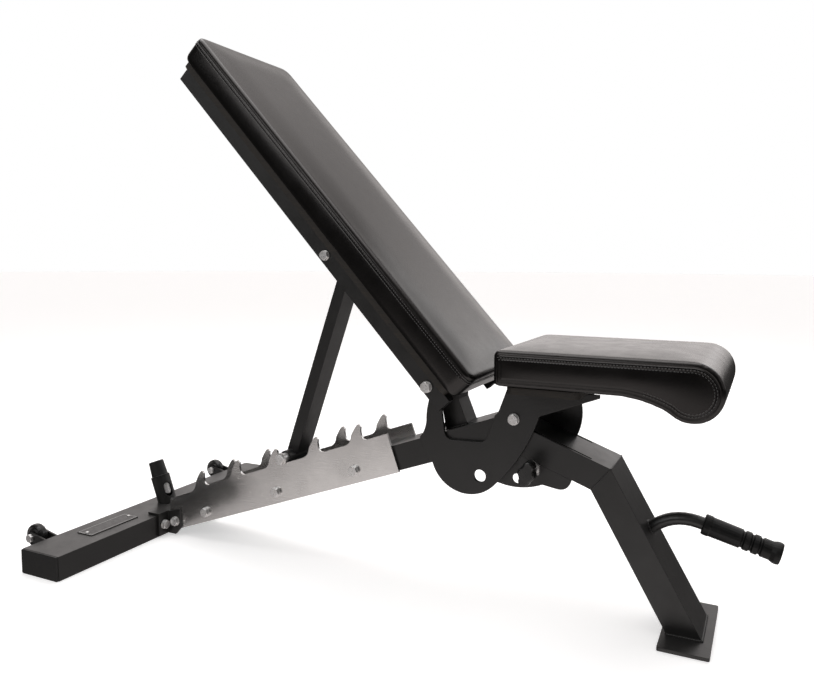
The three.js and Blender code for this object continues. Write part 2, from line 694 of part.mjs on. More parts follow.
// A cushion: a plan outline with rounded corners, its top and bottom edges rounded over.
function cushion(x0, x1, width, z0, z1, corner, edge) {
  const shape = roundedRectangle(x1 - x0, width, corner);
  const pad = new THREE.ExtrudeGeometry(shape, {
    depth: z1 - z0 - 2 * edge,
    bevelEnabled: true,
    bevelThickness: edge,
    bevelSize: edge,
    bevelOffset: -edge,
    bevelSegments: 3,
    curveSegments: 5,
  });
  return pad.translate((x0 + x1) / 2, 0, z0 + edge);
}

function backrest() {
  const group = new THREE.Group();
  group.position.set(HINGE.x, 0, HINGE.z);
  group.rotation.y = RECLINE;
  const railStart = PAD_TOP_END + 17;
  const railEnd = PAD_LOW_END - 4;
  const wall = 2.5;
  const holes = [
    rod(0, 0, 6.5, -150, 150, 24),
    rod(STRUT_PIVOT.x, STRUT_PIVOT.z, 6.5, -150, 150, 24),
  ];
  for (const [label, y0] of [['near', -RAIL_OUTER], ['far', RAIL_OUTER - RAIL_WIDTH]]) {
    const y1 = y0 + RAIL_WIDTH;
    const tube = cut(
      box(railStart, railEnd, y0, y1, RAIL_LOW, RAIL_HIGH),
      box(railStart - 1, railEnd + 1, y0 + wall, y1 - wall, RAIL_LOW + wall, RAIL_HIGH - wall),
      ...holes,
    );
    place(group, mesh(`backrest_rail_${label}`, tube, blackPaint));
  }
  const between = RAIL_OUTER - RAIL_WIDTH - GAP;
  [-700, -450, -120].forEach((x, index) => {
    const member = cut(
      box(x - 20, x + 20, -between, between, -8, RAIL_HIGH),
      box(x - 17.5, x + 17.5, -between - 1, between + 1, -5.5, RAIL_HIGH - 2.5),
    );
    place(group, mesh(`backrest_crossmember_${index + 1}`, member, blackPaint));
  });
  const boardLow = RAIL_HIGH + GAP;
  const boardHigh = boardLow + BOARD_THICKNESS;
  const boardStart = PAD_TOP_END + 10;
  const boardEnd = PAD_LOW_END - 18;
  const boardShape = roundedRectangle(boardEnd - boardStart, PAD_WIDTH - 16, 14);
  const board = new THREE.ExtrudeGeometry(boardShape, BOARD_SHEET);
  board.translate((boardStart + boardEnd) / 2, 0, boardLow);
  place(group, mesh('backrest_board', board, boardBlack));
  const padLow = boardHigh + GAP;
  const pad = cushion(PAD_TOP_END, PAD_LOW_END, PAD_WIDTH, padLow, padLow + PAD_THICKNESS, 18, 9);
  place(group, mesh('backrest_pad', pad, vinyl));
  place(group, throughBolt('strut_pivot_rod', STRUT_PIVOT.x, STRUT_PIVOT.z, RAIL_OUTER, 9.5));
  return group;
}

// ---------- strut ----------

function fromBackrest(x, z) {
  return {
    x: HINGE.x + x * Math.cos(RECLINE) + z * Math.sin(RECLINE),
    z: HINGE.z - x * Math.sin(RECLINE) + z * Math.cos(RECLINE),
  };
}

function strutGroup() {
  const top = fromBackrest(STRUT_PIVOT.x, STRUT_PIVOT.z);
  const bar = fromBeam(BAR_ALONG, BAR_UP);
  const length = Math.hypot(top.x - bar.x, top.z - bar.z);
  const group = new THREE.Group();
  group.position.set(top.x, 0, top.z);
  group.rotation.y = Math.atan2(top.x - bar.x, top.z - bar.z);
  const topSleeve = 13;
  const lowSleeve = 14;
  const half = STRUT_WIDTH / 2;
  const depth = STRUT_DEPTH / 2;
  // The tube leans back off the line between its two pivots.
  const leanBack = THREE.MathUtils.degToRad(1.4);
  const tube = box(-depth, depth, -half, half, 8, length - 8).rotateY(-leanBack).translate(0, 0, -length);
  const shell = join(
    tube,
    rod(0, 0, topSleeve, -half - 4, half + 4, 28),
    rod(0, -length, lowSleeve, -half - 20, half + 20, 28),
  );
  const strut = cut(
    shell,
    rod(0, 0, 6.5, -80, 80, 24),
    rod(0, -length, BAR_RADIUS + GAP, -80, 80, 28),
  );
  place(group, mesh('strut', strut, blackPaint));

  const barEnd = HALF_TUBE + GAP + LADDER_THICKNESS + 6;
  const barShape = join(
    rod(0, 0, BAR_RADIUS, -barEnd, barEnd, 28),
    rod(0, 0, 13, barEnd - 0.01, barEnd + 2, 24),
    rod(0, 0, 13, -barEnd - 2, -barEnd + 0.01, 24),
    hexHead(11, barEnd + 1.9, barEnd + 9, 1),
    hexHead(11, -barEnd - 9, -barEnd - 1.9, -1),
  );
  const barMesh = mesh('strut_bar', barShape, zinc);
  barMesh.position.z = -length;
  return place(group, barMesh);
}

// ---------- seat ----------

function seatProfile() {
  const { x, z, r } = SEAT_ROLL;
  const shape = new THREE.Shape();
  shape.moveTo(SEAT_REAR + 6, SEAT_BOTTOM);
  shape.lineTo(1050, SEAT_BOTTOM);
  shape.quadraticCurveTo(1085, SEAT_BOTTOM - 3, x - r * 0.72, z - r * 0.7);
  shape.absarc(x, z, r, Math.PI * 1.25, Math.PI * 2.5, false);
  shape.lineTo(SEAT_REAR + 8, SEAT_TOP);
  shape.quadraticCurveTo(SEAT_REAR, SEAT_TOP, SEAT_REAR, SEAT_TOP - 8);
  shape.lineTo(SEAT_REAR, SEAT_BOTTOM + 6);
  shape.quadraticCurveTo(SEAT_REAR, SEAT_BOTTOM, SEAT_REAR + 6, SEAT_BOTTOM);
  return shape;
}

// A point at a distance and an angle from the seat pivot.
function fromSeatPivot(radius, angle) {
  return [SEAT_PIVOT.x + radius * Math.cos(angle), SEAT_PIVOT.z + radius * Math.sin(angle)];
}

const BOARD_UNDERSIDE = SEAT_BOTTOM - BOARD_THICKNESS - 2 * GAP;

// The locking plate: an arm from the board down past the pivot to an arc with the lock holes.
function selectorShape() {
  const { x, z } = SEAT_PIVOT;
  const start = THREE.MathUtils.degToRad(-112);
  const end = THREE.MathUtils.degToRad(-60);
  const shape = new THREE.Shape();
  shape.moveTo(x - 20, z);
  shape.lineTo(...fromSeatPivot(60, start));
  shape.lineTo(...fromSeatPivot(SELECTOR_RADIUS, start));
  shape.absarc(x, z, SELECTOR_RADIUS, start, end, false);
  shape.lineTo(...fromSeatPivot(60, end));
  shape.lineTo(x + 30, z + 4);
  shape.lineTo(x + 110, BOARD_UNDERSIDE - 16);
  shape.lineTo(x + 110, BOARD_UNDERSIDE);
  shape.lineTo(x - 8, BOARD_UNDERSIDE);
  return shape;
}

// The far bracket: a quadrant-like panel that swings through the leg's slot.
function farBracketShape() {
  const { x, z } = SEAT_PIVOT;
  const low = THREE.MathUtils.degToRad(-27);
  const high = Math.asin((BOARD_UNDERSIDE - z) / FAR_BRACKET_RADIUS);
  const shape = new THREE.Shape();
  shape.moveTo(x - 20, z);
  shape.quadraticCurveTo(x - 18, z - 20, x + 6, z - 22);
  shape.lineTo(...fromSeatPivot(FAR_BRACKET_RADIUS, low));
  shape.absarc(x, z, FAR_BRACKET_RADIUS, low, high, false);
  shape.lineTo(x - 8, BOARD_UNDERSIDE);
  return shape;
}

function seat() {
  const group = new THREE.Group();
  const pivotHole = rod(SEAT_PIVOT.x, SEAT_PIVOT.z, 6.1, -90, 90, 24);
  const lockHoles = [0, 1].map((step) => {
    const [x, z] = fromSeatPivot(LOCK_RADIUS, LOCK_ANGLE - step * LOCK_STEP);
    return rod(x, z, PIN.radius + 1.2, -90, 90, 24);
  });
  const [sightX, sightZ] = fromSeatPivot(112, THREE.MathUtils.degToRad(-87.7));
  const sightHole = rod(sightX, sightZ, 9.5, -90, 90, 28);
  const outer = SELECTOR_OUTER - 0.6;
  const inner = outer - SELECTOR_THICKNESS;
  const selector = cut(acrossY(selectorShape(), -outer, -inner, 24), pivotHole, sightHole, ...lockHoles);
  place(group, mesh('seat_selector', selector, blackPaint));
  const farBracket = cut(acrossY(farBracketShape(), inner, outer, 16), pivotHole);
  place(group, mesh('seat_bracket_far', farBracket, blackPaint));

  const boardLength = 128;
  const boardShape = roundedRectangle(boardLength, PAD_WIDTH - 30, 14);
  const board = new THREE.ExtrudeGeometry(boardShape, BOARD_SHEET);
  board.translate(SEAT_REAR + 18 + boardLength / 2, 0, BOARD_UNDERSIDE + GAP);
  place(group, mesh('seat_board', board, boardBlack));

  const pad = acrossY(seatProfile(), -PAD_WIDTH / 2, PAD_WIDTH / 2, 10);
  place(group, mesh('seat_pad', pad, vinyl));
  return group;
}

// ---------- assembly ----------

const bench = new THREE.Group();
bench.add(
  crossbarGroup(),
  namePlate(),
  rearPost(),
  wheelSet('near', -1),
  wheelSet('far', 1),
  beamGroup(),
  spineHardware(),
  upperLeg(),
  lowerLeg(),
  footPlate(),
  frontHandle(),
  lockPin(),
  backrest(),
  strutGroup(),
  seat(),
);

// The origin is under the middle of the bench's overall length.
const extent = new THREE.Box3().setFromObject(bench, true);
bench.position.x = -(extent.min.x + extent.max.x) / 2;

export default bench;
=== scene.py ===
"""Looks of the adjustable weight bench: materials, upholstered pads, weld beads, studio and camera."""

import json
import math

import bmesh
import bpy
from mathutils import Matrix, Vector
from mathutils.bvhtree import BVHTree


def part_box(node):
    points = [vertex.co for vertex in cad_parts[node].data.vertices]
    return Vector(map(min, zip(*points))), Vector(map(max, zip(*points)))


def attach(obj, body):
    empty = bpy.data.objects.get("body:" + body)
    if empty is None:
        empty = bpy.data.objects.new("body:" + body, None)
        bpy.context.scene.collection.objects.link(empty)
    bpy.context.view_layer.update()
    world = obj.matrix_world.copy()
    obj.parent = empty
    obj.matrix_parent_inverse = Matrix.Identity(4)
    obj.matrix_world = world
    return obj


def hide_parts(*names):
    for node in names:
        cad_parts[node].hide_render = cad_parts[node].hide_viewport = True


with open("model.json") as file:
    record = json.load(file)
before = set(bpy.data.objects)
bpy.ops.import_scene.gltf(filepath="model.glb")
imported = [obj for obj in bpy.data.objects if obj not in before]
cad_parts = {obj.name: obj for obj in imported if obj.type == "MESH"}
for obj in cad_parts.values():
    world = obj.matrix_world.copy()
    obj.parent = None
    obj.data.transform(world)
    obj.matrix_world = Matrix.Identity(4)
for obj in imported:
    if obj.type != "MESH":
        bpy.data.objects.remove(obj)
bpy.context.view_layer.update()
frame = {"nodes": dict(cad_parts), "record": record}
nodes = frame["nodes"]
joints = {joint["name"]: joint for joint in frame["record"]["behaviour"]["joints"]}

RECLINE = math.radians(47.4)
SLOPE = math.radians(20)
LEG_ANGLE = math.radians(60)


# ---------- node helpers ----------

class Shader:
    """A new material with a Principled shader, and short ways to add and join its nodes."""

    def __init__(self, name):
        self.material = bpy.data.materials.new(name)
        self.material.use_nodes = True
        self.tree = self.material.node_tree
        self.bsdf = self.tree.nodes["Principled BSDF"]
        self.object = self.add("ShaderNodeTexCoord").outputs["Object"]

    def add(self, kind, **settings):
        node = self.tree.nodes.new(kind)
        for key, value in settings.items():
            setattr(node, key, value)
        return node

    def link(self, source, target):
        self.tree.links.new(source, target)

    def stretched(self, scale, turn=(0, 0, 0)):
        mapping = self.add("ShaderNodeMapping")
        mapping.inputs["Rotation"].default_value = turn
        mapping.inputs["Scale"].default_value = scale
        self.link(self.object, mapping.inputs["Vector"])
        return mapping.outputs["Vector"]

    def noise(self, scale, detail=4, roughness=0.5, vector=None):
        node = self.add("ShaderNodeTexNoise")
        node.inputs["Scale"].default_value = scale
        node.inputs["Detail"].default_value = detail
        node.inputs["Roughness"].default_value = roughness
        self.link(vector or self.object, node.inputs["Vector"])
        return node.outputs["Fac"]

    def cells(self, scale, feature="F1"):
        node = self.add("ShaderNodeTexVoronoi", feature=feature)
        node.inputs["Scale"].default_value = scale
        self.link(self.object, node.inputs["Vector"])
        return node.outputs["Distance"]

    def ranged(self, source, low, high, to_low, to_high):
        node = self.add("ShaderNodeMapRange")
        self.link(source, node.inputs["Value"])
        node.inputs["From Min"].default_value = low
        node.inputs["From Max"].default_value = high
        node.inputs["To Min"].default_value = to_low
        node.inputs["To Max"].default_value = to_high
        return node.outputs["Result"]

    def ramp(self, source, stops, interpolation="LINEAR"):
        node = self.add("ShaderNodeValToRGB")
        node.color_ramp.interpolation = interpolation
        elements = node.color_ramp.elements
        while len(elements) < len(stops):
            elements.new(0.5)
        for element, (position, colour) in zip(elements, stops):
            element.position = position
            element.color = (*colour, 1)
        self.link(source, node.inputs["Fac"])
        return node.outputs["Color"]

    def maths(self, operation, a, b):
        node = self.add("ShaderNodeMath", operation=operation)
        for value, socket in ((a, node.inputs[0]), (b, node.inputs[1])):
            if isinstance(value, (int, float)):
                socket.default_value = value
            else:
                self.link(value, socket)
        return node.outputs["Value"]

    def mixed(self, factor, a, b):
        node = self.add("ShaderNodeMix", data_type="RGBA")
        self.link(factor, node.inputs["Factor"])
        for value, socket in ((a, node.inputs[6]), (b, node.inputs[7])):
            if isinstance(value, tuple):
                socket.default_value = (*value, 1)
            else:
                self.link(value, socket)
        return node.outputs[2]

    def bump(self, height, distance, strength=1.0, normal=None):
        node = self.add("ShaderNodeBump")
        node.inputs["Distance"].default_value = distance
        node.inputs["Strength"].default_value = strength
        self.link(height, node.inputs["Height"])
        if normal is not None:
            self.link(normal, node.inputs["Normal"])
        return node.outputs["Normal"]

    def rounded(self, radius):
        """A shading normal with the edges rounded, and how near an edge a point is."""
        bevel = self.add("ShaderNodeBevel", samples=4)
        bevel.inputs["Radius"].default_value = radius
        flat = self.add("ShaderNodeNewGeometry").outputs["Normal"]
        dot = self.add("ShaderNodeVectorMath", operation="DOT_PRODUCT")
        self.link(bevel.outputs["Normal"], dot.inputs[0])
        self.link(flat, dot.inputs[1])
        edge = self.ranged(dot.outputs["Value"], 0.99, 0.85, 0, 1)
        return bevel.outputs["Normal"], edge

    def finish(self, colour=None, roughness=None, normal=None, **sockets):
        if colour is not None:
            self.link(colour, self.bsdf.inputs["Base Color"])
        if roughness is not None:
            self.link(roughness, self.bsdf.inputs["Roughness"])
        if normal is not None:
            self.link(normal, self.bsdf.inputs["Normal"])
        for key, value in sockets.items():
            self.bsdf.inputs[key.replace("_", " ")].default_value = value
        return self.material


def grey(value, warmth=0.0):
    return (value * (1 + warmth), value, value * (1 - warmth))


# ---------- materials ----------

def powder_coat():
    s = Shader("black_powder_coat")
    normal, edge = s.rounded(0.0012)
    broad = s.noise(7, 3)
    colour = s.mixed(broad, grey(0.019), grey(0.025, 0.03))
    # Painted highlight: patches along the edges are painted a paler grey, standing in for the light the
    # edges catch.
    painted_edge_highlight = s.maths("MULTIPLY", edge, s.ranged(s.noise(160, 5, 0.7), 0.5, 0.66, 0, 0.55))
    colour = s.mixed(painted_edge_highlight, colour, grey(0.09))
    roughness = s.ranged(s.noise(24, 5, 0.65), 0.3, 0.7, 0.30, 0.42)
    peel = s.bump(s.noise(520, 2), 0.00022, 0.35, normal)
    speck = s.bump(s.cells(260), 0.00012, 0.25, peel)
    return s.finish(colour, roughness, speck, Specular_IOR_Level=0.5)


def stainless():
    s = Shader("brushed_stainless")
    normal, _ = s.rounded(0.0008)
    along = s.stretched((1.4, 1, 90), (0, SLOPE, 0))
    streaks = s.noise(26, 6, 0.7, along)
    colour = s.mixed(s.ranged(streaks, 0.3, 0.7, 0, 1), grey(0.60), grey(0.80, 0.02))
    smudge = s.noise(9, 4, 0.6)
    smeared = s.ranged(smudge, 0.35, 0.7, 0, 0.1)
    roughness = s.maths("ADD", s.ranged(streaks, 0.25, 0.75, 0.14, 0.24), smeared)
    brushed = s.bump(streaks, 0.00006, 0.5, normal)
    return s.finish(colour, roughness, brushed, Metallic=1.0, Anisotropic=0.3)


def zinc():
    s = Shader("bright_zinc")
    normal, _ = s.rounded(0.0006)
    patches = s.noise(120, 4, 0.6)
    colour = s.mixed(s.ranged(patches, 0.35, 0.65, 0, 1), grey(0.72, 0.02), grey(0.88))
    roughness = s.ranged(s.noise(340, 4), 0.3, 0.7, 0.24, 0.4)
    return s.finish(colour, roughness, s.bump(patches, 0.0001, 0.3, normal), Metallic=0.62)


def vinyl():
    s = Shader("black_grained_vinyl")
    depth = s.add("ShaderNodeAttribute", attribute_name="seam_depth").outputs["Fac"]
    profile = s.ramp(
        s.maths("DIVIDE", depth, 0.024),
        [
            (0.0, grey(0.55)),
            (0.30, grey(0.55)),
            (0.375, grey(0.05)),
            (0.45, grey(0.95)),
            (0.56, grey(0.9)),
            (0.63, grey(0.25)),
            (0.72, grey(0.5)),
        ],
        "EASE",
    )
    grain = s.cells(780, "SMOOTH_F1")
    creases = s.noise(520, 3, 0.5)
    colour = s.mixed(s.noise(11, 4, 0.6), grey(0.004), grey(0.007, 0.08))
    roughness = s.ranged(s.noise(30, 5, 0.6), 0.3, 0.7, 0.2, 0.27)
    seam = s.bump(profile, 0.0016)
    leather = s.bump(grain, 0.00016, 0.45, seam)
    fine = s.bump(creases, 0.0001, 0.25, leather)
    wave = s.bump(s.noise(4, 1, 0.3, s.stretched((0.6, 2.4, 1))), 0.004, 0.1, fine)
    return s.finish(colour, roughness, wave, Specular_IOR_Level=0.45, Specular_Tint=(1.0, 0.95, 0.93, 1))


def thread():
    s = Shader("sewing_thread")
    twist = s.noise(1600, 2, 0.5, s.stretched((1, 3, 1)))
    colour = s.mixed(twist, grey(0.045), grey(0.11))
    roughness = s.ranged(twist, 0.3, 0.7, 0.4, 0.62)
    return s.finish(colour, roughness, s.bump(twist, 0.0002, 0.6), Sheen_Weight=0.2)


def rubber():
    s = Shader("grip_rubber")
    normal, _ = s.rounded(0.001)
    dust = s.noise(60, 6, 0.7)
    colour = s.mixed(s.ranged(dust, 0.45, 0.7, 0, 1), grey(0.004), grey(0.009, 0.03))
    roughness = s.ranged(dust, 0.3, 0.7, 0.4, 0.58)
    pores = s.bump(s.noise(900, 3), 0.0002, 0.4, normal)
    return s.finish(colour, roughness, pores, Specular_IOR_Level=0.3)


def plastic(name, low, high, texture, depth):
    s = Shader(name)
    normal, edge = s.rounded(0.001)
    flow = s.noise(18, 4, 0.6)
    colour = s.mixed(flow, grey(0.01), grey(0.016))
    # Painted highlight: the edges are painted a paler grey, standing in for the light the edges catch.
    colour = s.mixed(s.maths("MULTIPLY", edge, 0.5), colour, grey(0.035))
    roughness = s.ranged(s.noise(90, 4, 0.6), 0.3, 0.7, low, high)
    return s.finish(colour, roughness, s.bump(s.noise(texture, 3), depth, 0.5, normal))


def plate():
    """A blank label plate: a dark field with a fine bright border line near its rim."""
    s = Shader("blank_label_plate")
    low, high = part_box("name_plate")
    centre = (low + high) / 2
    half = (high - low) / 2
    parts = s.add("ShaderNodeSeparateXYZ")
    s.link(s.object, parts.inputs[0])
    across = s.maths("ABSOLUTE", s.maths("SUBTRACT", parts.outputs["X"], centre.x), 0)
    along = s.maths("ABSOLUTE", s.maths("SUBTRACT", parts.outputs["Y"], centre.y), 0)
    rim = s.maths("MAXIMUM", s.maths("SUBTRACT", across, half.x), s.maths("SUBTRACT", along, half.y))
    line = s.maths("MULTIPLY", s.maths("GREATER_THAN", rim, -0.0036), s.maths("LESS_THAN", rim, -0.0024))
    mottled = s.mixed(s.noise(220, 4), grey(0.012), grey(0.022))
    colour = s.mixed(line, mottled, grey(0.38))
    roughness = s.ranged(s.noise(140, 4), 0.3, 0.7, 0.28, 0.42)
    return s.finish(colour, roughness, s.bump(line, 0.0002, 0.6))


def stained_board():
    s = Shader("stained_plywood")
    fibre = s.noise(40, 6, 0.65, s.stretched((1, 14, 14), (0, RECLINE, 0)))
    colour = s.mixed(s.ranged(fibre, 0.35, 0.65, 0, 1), grey(0.012, 0.1), grey(0.03, 0.2))
    roughness = s.ranged(fibre, 0.3, 0.7, 0.6, 0.8)
    return s.finish(colour, roughness, s.bump(fibre, 0.0004, 0.5))


PAINT = powder_coat()
VINYL = vinyl()
THREAD = thread()
FINISHES = {
    "black_paint": PAINT,
    "brushed_stainless": stainless(),
    "zinc_steel": zinc(),
    "grip_rubber": rubber(),
    "cap_plastic": plastic("matte_black_plastic", 0.42, 0.55, 420, 0.0003),
    "wheel_plastic": plastic("glossy_black_wheel", 0.16, 0.28, 70, 0.0002),
    "knob_plastic": plastic("glossy_black_knob", 0.2, 0.34, 150, 0.0002),
    "plate_plastic": plate(),
    "board": stained_board(),
    "black_vinyl": VINYL,
}

for part in frame["record"]["subparts"]:
    slots = nodes[part["node"]].data.materials
    slots.clear()
    slots.append(FINISHES[part["material_slot"]])


# ---------- pads ----------

MM = 0.001


def applied(obj, name):
    """obj's mesh with its modifiers applied, as a new object."""
    graph = bpy.context.evaluated_depsgraph_get()
    mesh = bpy.data.meshes.new_from_object(obj.evaluated_get(graph))
    made = bpy.data.objects.new(name, mesh)
    bpy.context.scene.collection.objects.link(made)
    bpy.data.objects.remove(obj)
    return made


def object_from(mesh_data, name):
    mesh = bpy.data.meshes.new(name)
    mesh_data.to_mesh(mesh)
    mesh_data.free()
    obj = bpy.data.objects.new(name, mesh)
    bpy.context.scene.collection.objects.link(obj)
    return obj


def smooth_object(name, vertices, faces, material):
    """A smooth-shaded object made of lists of points and faces."""
    mesh = bpy.data.meshes.new(name)
    mesh.from_pydata(vertices, [], faces)
    mesh.polygons.foreach_set("use_smooth", [True] * len(mesh.polygons))
    mesh.materials.append(material)
    obj = bpy.data.objects.new(name, mesh)
    bpy.context.scene.collection.objects.link(obj)
    return obj


def tube_faces(first, rings, sides):
    """The faces of a closed tube of vertex rings, numbered from first."""
    faces = []
    for ring in range(rings - 1):
        for k in range(sides):
            a = first + ring * sides + k
            b = first + ring * sides + (k + 1) % sides
            faces.append((a, b, b + sides, a + sides))
    faces.append(tuple(first + k for k in reversed(range(sides))))
    faces.append(tuple(first + (rings - 1) * sides + k for k in range(sides)))
    return faces


def evened(moves, obj, held, rounds):
    """The points' moves, each averaged with its neighbours' again and again, so that no dent is left."""
    neighbours = [[] for _ in moves]
    for edge in obj.data.edges:
        a, b = edge.vertices
        neighbours[a].append(b)
        neighbours[b].append(a)
    free = [k for k in range(len(moves)) if k not in held]
    for _ in range(rounds):
        previous = moves
        moves = list(previous)
        for k in free:
            total = Vector()
            for other in neighbours[k]:
                total += previous[other]
            moves[k] = previous[k] * 0.4 + total * (0.6 / len(neighbours[k]))
    return moves


PAD_GRID = 5 * MM
SWELL_FRAMES = 20
EVENING_ROUNDS = 14


def stuffed(obj, name, is_held, cap):
    """A firm foam pad: its cover swells under pressure between the seams, by no more than cap."""
    remesh = obj.modifiers.new("even", "REMESH")
    remesh.mode = "VOXEL"
    remesh.voxel_size = PAD_GRID
    remesh.use_smooth_shade = True
    obj = applied(obj, name + "_base")
    smooth = obj.modifiers.new("smooth", "SMOOTH")
    smooth.iterations = 3
    obj = applied(obj, name + "_smooth")
    start = [vertex.co.copy() for vertex in obj.data.vertices]
    held = {k for k, point in enumerate(start) if is_held(point)}
    group = obj.vertex_groups.new(name="held")
    group.add(sorted(held), 1, "REPLACE")
    cloth = obj.modifiers.new("cloth", "CLOTH")
    cloth.settings.quality = 5
    cloth.settings.mass = 0.3
    cloth.settings.tension_stiffness = 20
    cloth.settings.compression_stiffness = 20
    cloth.settings.bending_stiffness = 1
    cloth.settings.use_pressure = True
    cloth.settings.uniform_pressure_force = 4
    cloth.settings.vertex_group_mass = "held"
    cloth.settings.effector_weights.gravity = 0
    scene = bpy.context.scene
    for number in range(1, SWELL_FRAMES + 1):
        scene.frame_set(number)
    obj = applied(obj, name + "_swollen")
    scene.frame_set(1)
    moves = []
    for vertex, rest in zip(obj.data.vertices, start):
        move = vertex.co - rest
        moves.append(move * (cap / move.length) if move.length > cap else move)
    for vertex, rest, move in zip(obj.data.vertices, start, evened(moves, obj, held, EVENING_ROUNDS)):
        vertex.co = rest + move
    fine = obj.modifiers.new("fine", "SUBSURF")
    fine.levels = 1
    fine.render_levels = 1
    obj = applied(obj, name)
    obj.data.polygons.foreach_set("use_smooth", [True] * len(obj.data.polygons))
    obj.data.materials.clear()
    obj.data.materials.append(VINYL)
    return obj


def mark_seam(obj, depth_of):
    """Writes how far each point lies below the pad's top edge, for the material's seam."""
    attribute = obj.data.attributes.new("seam_depth", "FLOAT", "POINT")
    attribute.data.foreach_set("value", [depth_of(vertex.co) for vertex in obj.data.vertices])


STITCH_PITCH = 5.2 * MM
STITCH_LENGTH = 3.6 * MM
THREAD_RADIUS = 0.55 * MM


def stitches(name, pad, path):
    """Short raised runs of thread on the pad, along a path of points, each with its inward direction."""
    tree = BVHTree.FromPolygons(
        [vertex.co for vertex in pad.data.vertices],
        [polygon.vertices[:] for polygon in pad.data.polygons],
    )
    vertices = []
    faces = []
    rings = [(-0.5, 0.35, 0.0), (-0.3, 0.9, 0.7), (0.0, 1.0, 1.0), (0.3, 0.9, 0.7), (0.5, 0.35, 0.0)]
    sides = 6
    walked = 0.0
    for (point, inward), (following, _) in zip(path, path[1:]):
        step = following - point
        walked += step.length
        if walked < STITCH_PITCH or step.length < 1e-9:
            continue
        walked -= STITCH_PITCH
        hit, normal, _, _ = tree.ray_cast(point, inward, 0.06)
        if hit is None:
            continue
        along = step.normalized()
        side = normal.cross(along).normalized()
        first = len(vertices)
        for place, width, lift in rings:
            sunk = THREAD_RADIUS * (0.7 * lift - 0.25)
            middle = hit + along * (place * STITCH_LENGTH) + normal * sunk
            for k in range(sides):
                angle = math.tau * k / sides
                offset = side * math.cos(angle) + normal * math.sin(angle)
                vertices.append(middle + offset * (THREAD_RADIUS * width))
        faces += tube_faces(first, len(rings), sides)
    return smooth_object(name, vertices, faces, THREAD)


def rounded_rectangle(x0, x1, y0, y1, radius, step):
    """Points round a rectangle with rounded corners, about step apart, each with its inward direction."""
    corners = [(x1, y0, -90), (x1, y1, 0), (x0, y1, 90), (x0, y0, 180)]
    outline = []
    for x, y, start in corners:
        cx = x - radius if x == x1 else x + radius
        cy = y - radius if y == y1 else y + radius
        for k in range(9):
            angle = math.radians(start + 90 * k / 8)
            outward = Vector((math.cos(angle), math.sin(angle), 0))
            outline.append((Vector((cx, cy, 0)) + outward * radius, -outward))
    outline.append(outline[0])
    dense = []
    for (a, na), (b, nb) in zip(outline, outline[1:]):
        count = max(1, round((b - a).length / step))
        for k in range(count):
            share = k / count
            dense.append((a.lerp(b, share), na.lerp(nb, share).normalized()))
    dense.append(dense[0])
    return dense


# The backrest pad is built lying flat in the backrest's own frame, then turned into place.
BACK = {"x0": -828 * MM, "x1": 50 * MM, "half": 150 * MM, "z0": 29.9 * MM, "z1": 83.9 * MM}
BACK_CORNER = 20 * MM
BACK_STITCH_DEPTHS = (11.6 * MM, 16 * MM)
back_place = (
    Matrix.Translation(Vector(joints["backrest_hinge"]["pos_m"])) @ Matrix.Rotation(RECLINE, 4, "Y")
)


def backrest_pad():
    inset = 1 * MM
    x0, x1, half = BACK["x0"] + inset, BACK["x1"] - inset, BACK["half"] - inset
    data = bmesh.new()
    bmesh.ops.create_cube(data, size=1)
    size = Vector((x1 - x0, 2 * half, BACK["z1"] - BACK["z0"]))
    centre = Vector(((x0 + x1) / 2, 0, (BACK["z0"] + BACK["z1"]) / 2))
    for vertex in data.verts:
        vertex.co = Vector(vertex.co[i] * size[i] for i in range(3)) + centre
    upright = [edge for edge in data.edges if abs(edge.verts[0].co.z - edge.verts[1].co.z) > 0.01]
    bmesh.ops.bevel(data, geom=upright, offset=BACK_CORNER, segments=8, profile=0.5, affect="EDGES")
    rim = [edge for edge in data.edges if min(v.co.z for v in edge.verts) > BACK["z0"] + 0.03]
    bmesh.ops.bevel(data, geom=rim, offset=4.5 * MM, segments=3, profile=0.5, affect="EDGES")
    low = [edge for edge in data.edges if max(v.co.z for v in edge.verts) < BACK["z0"] + 0.001]
    bmesh.ops.bevel(data, geom=low, offset=4 * MM, segments=3, profile=0.5, affect="EDGES")
    base = object_from(data, "backrest_cushion_blank")

    def is_held(point):
        inside = min(point.x - x0, x1 - point.x, half - abs(point.y))
        below = BACK["z1"] - point.z
        on_rim = inside < 7 * MM and 2 * MM < below < 10 * MM
        return point.z < BACK["z0"] + 3 * MM or on_rim

    pad = stuffed(base, "backrest_cushion", is_held, 5 * MM)
    top = BACK["z1"]
    mark_seam(pad, lambda p: max(0.0, top - p.z))
    seam = rounded_rectangle(BACK["x0"] - 0.01, BACK["x1"] + 0.01, -0.16, 0.16, 0.03, 0.5 * MM)
    rows = []
    for number, depth in enumerate(BACK_STITCH_DEPTHS, 1):
        path = [(point + Vector((0, 0, top - depth)), inward) for point, inward in seam]
        rows.append(stitches(f"backrest_stitch_row_{number}", pad, path))
    return pad, rows


def offset_profile(points, distance):
    """The closed outline moved inwards by a distance."""
    count = len(points)
    moved = []
    for k, point in enumerate(points):
        tangent = (points[(k + 1) % count] - points[k - 1]).normalized()
        moved.append(point + Vector((-tangent.y, tangent.x)) * distance)
    return moved


# The seat's numbers are in millimetres along the bench, which SEAT_SHIFT moves into the frame's place.
SEAT_SHIFT = joints["seat_hinge"]["pos_m"][0] - 839 * MM
SEAT_REAR = 830
SEAT_LOW = 424.3
SEAT_HIGH = 488.5
SEAT_FLAT_END = 1045
ROLL_X = 1150
ROLL_Z = 439.5
ROLL_RADIUS = 49
SEAT_STITCH_DEPTHS = (13 * MM, 17 * MM)


